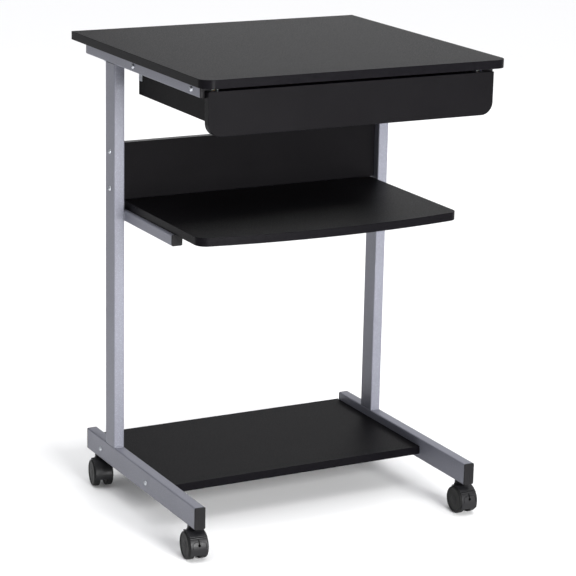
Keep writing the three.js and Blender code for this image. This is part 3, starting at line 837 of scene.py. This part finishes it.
# a moulded twin wheel: crowned tread with a mould line, raised rim, dished face and a hub cap
def addWheel(place, label, side):
    a, b, r, bore, pit = (wheel[k] for k in ("inner", "outer", "radius", "bore", "axleHole"))
    profile = [      # distance from the caster's middle, radius
        (a, bore), (a, 8.4), (a + 0.8, 9.0), (a + 0.8, 20.2), (a, 20.8), (a, r - 1.2), (a + 0.35, r - 0.4),
        (a + 1.1, r), (b - 5.2, r), (b - 5.0, r - 0.25), (b - 4.8, r - 0.05), (b - 2.6, r - 0.15),
        (b - 1.3, r - 0.7), (b - 0.4, r - 1.7), (b, r - 3.0), (b - 0.05, r - 4.6), (b - 0.7, r - 5.2),
        (b - 1.0, r - 6.0), (b - 0.9, 9.4), (b - 0.5, 8.6), (b - 0.4, 7.0), (b - 0.3, 4.0), (b - 0.3, pit),
        (b - 2, pit), (b - 2, bore),
    ]
    button = [(b - 1.0, 2.2), (b - 0.35, 2.0), (b - 0.1, 1.2), (b, 0.4)]
    toSide = lambda w, u, v: (side * w, u, v)
    bm = bmesh.new()
    turnedSolid(bm, profile, toSide, wheel["segments"], loop=True)
    turnedSolid(bm, button, toSide, 24)
    moved(bm, casterFrame(place))
    node = f"{place}_caster_{label}_wheel"
    addPiece(node, bm, ["wheel"], f"{place}_{label}_wheel", [node], sharpDegrees=32)


for place, braked in (("front_left", True), ("front_right", True),
                      ("back_left", False), ("back_right", False)):
    addHood(place, braked)
    if braked:
        addLever(place)
    addWheel(place, "left", -1)
    addWheel(place, "right", 1)
    finishNode(f"{place}_caster_stem", "steel", 0.4)
    finishNode(f"{place}_caster_axle", "steel", 0.3)
print("casters made")


# a pale studio: a wide soft light overhead whitens the floor, a low one straight in front makes the
# fronts bright and leaves the sides darker, and one far behind lies along the top as a sheen
studio = {
    "floorColour": "#fafafa", "floorHalf": 40.0, "worldColour": "#f4f6ff", "worldStrength": 0.18,
    "sky": {"power": 2.65, "angleDegrees": 75},
    "panels": {
        "front": {"place": (0.25, -4.2, 1.3), "aim": (0.0, 0.0, 0.55),
                  "width": 1.6, "height": 2.4, "power": 330},
        "behind": {"place": (2.4, 3.6, 2.0), "aim": (0.0, 0.0, 0.84),
                   "width": 2.6, "height": 1.4, "power": 21},
    },
}


def floorPaint(tree, where):
    drift = addNode(tree, "TexNoise", {"Scale": 0.6, "Detail": 2.0}, {"Vector": where})
    rough = spread(tree, drift.outputs["Fac"], 0.85, 0.95, 0.0, 1.0)
    return addNode(tree, "BsdfPrincipled", {"Base Color": linearColour(studio["floorColour"]),
                                            "Specular IOR Level": 0.1}, {"Roughness": rough})


def addStudio():
    half = studio["floorHalf"]
    mesh = bpy.data.meshes.new("floor")
    corners = [(-half, -half, 0), (half, -half, 0), (half, half, 0), (-half, half, 0)]
    mesh.from_pydata(corners, [], [(0, 1, 2, 3)])
    mesh.materials.append(makeMaterial("floor_paint", floorPaint))
    floor = bpy.data.objects.new("floor", mesh)
    bpy.context.scene.collection.objects.link(floor)
    sky = bpy.data.lights.new("sky", "SUN")
    sky.energy, sky.angle = studio["sky"]["power"], math.radians(studio["sky"]["angleDegrees"])
    bpy.context.scene.collection.objects.link(bpy.data.objects.new("sky", sky))
    for name, look in studio["panels"].items():
        data = bpy.data.lights.new(name, "AREA")
        data.shape, data.energy = "RECTANGLE", look["power"]
        data.size, data.size_y = look["width"], look["height"]
        light = bpy.data.objects.new(name, data)
        aim = (Vector(look["aim"]) - Vector(look["place"])).to_track_quat("-Z", "Y")
        light.matrix_world = Matrix.Translation(look["place"]) @ aim.to_matrix().to_4x4()
        bpy.context.scene.collection.objects.link(light)
    world = bpy.data.worlds.new("studio")
    world.use_nodes = True
    background = world.node_tree.nodes["Background"]
    background.inputs["Color"].default_value = linearColour(studio["worldColour"])
    background.inputs["Strength"].default_value = studio["worldStrength"]
    bpy.context.scene.world = world
    bpy.context.scene.view_settings.view_transform = "Standard"


addStudio()
print("studio lit")
